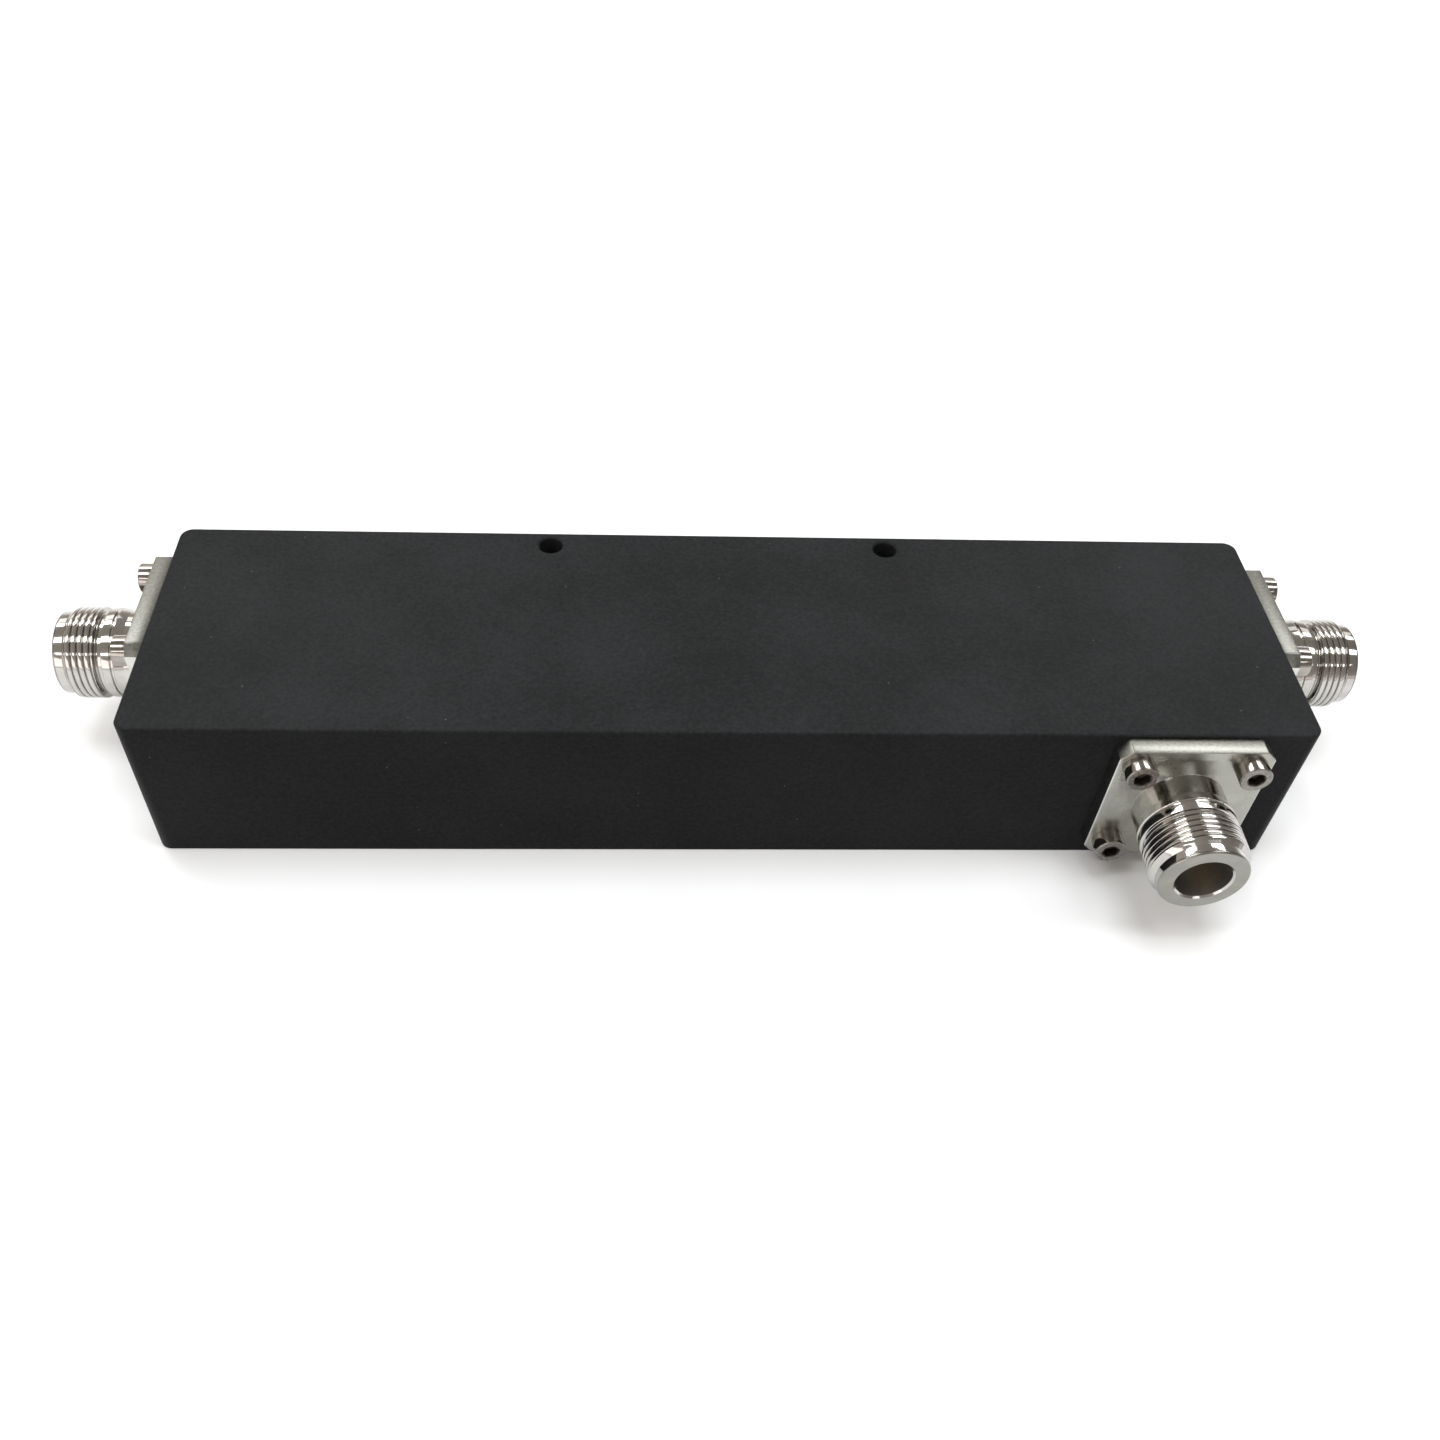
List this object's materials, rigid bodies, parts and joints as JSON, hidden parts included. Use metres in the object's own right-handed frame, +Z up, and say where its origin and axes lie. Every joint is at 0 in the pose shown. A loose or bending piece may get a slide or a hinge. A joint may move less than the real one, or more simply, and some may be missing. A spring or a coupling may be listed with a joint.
{
  "type": "directional coupler",
  "caption": "Long black coaxial directional coupler: a machined block with flanged, threaded female ports on both ends and a coupled port on its front.",
  "frame": {"origin": "middle of the bottom face, on the cover", "axes": "+X from the input port to the output port, -Y towards the coupled port, +Z up"},
  "size_m": [0.2278, 0.0677, 0.0295],
  "materials": {
    "black_coat": "matt, fine-grained black coat",
    "nickel_plate": "bright nickel plate",
    "screw_steel": "bright plated steel",
    "silver_plate": "silver plate",
    "gold_plate": "gold plate",
    "white_plastic": "white low-friction plastic",
    "ceramic": "fired ceramic"
  },
  "bodies": {
    "root": {"housing": "black_coat", "bottom_cover": "black_coat", "cover_screws": "screw_steel", "main_line": "silver_plate", "coupled_line": "silver_plate", "left_support": "white_plastic", "right_support": "white_plastic", "load_base": "nickel_plate", "load_chip": "ceramic", "load_tab": "silver_plate", "load_screws": "screw_steel", "input_shell": "nickel_plate", "input_insulator": "white_plastic", "input_contact": "gold_plate", "input_screws": "screw_steel", "output_shell": "nickel_plate", "output_insulator": "white_plastic", "output_contact": "gold_plate", "output_screws": "screw_steel", "coupled_shell": "nickel_plate", "coupled_insulator": "white_plastic", "coupled_contact": "gold_plate", "coupled_screws": "screw_steel"}
  },
  "joints": []
}
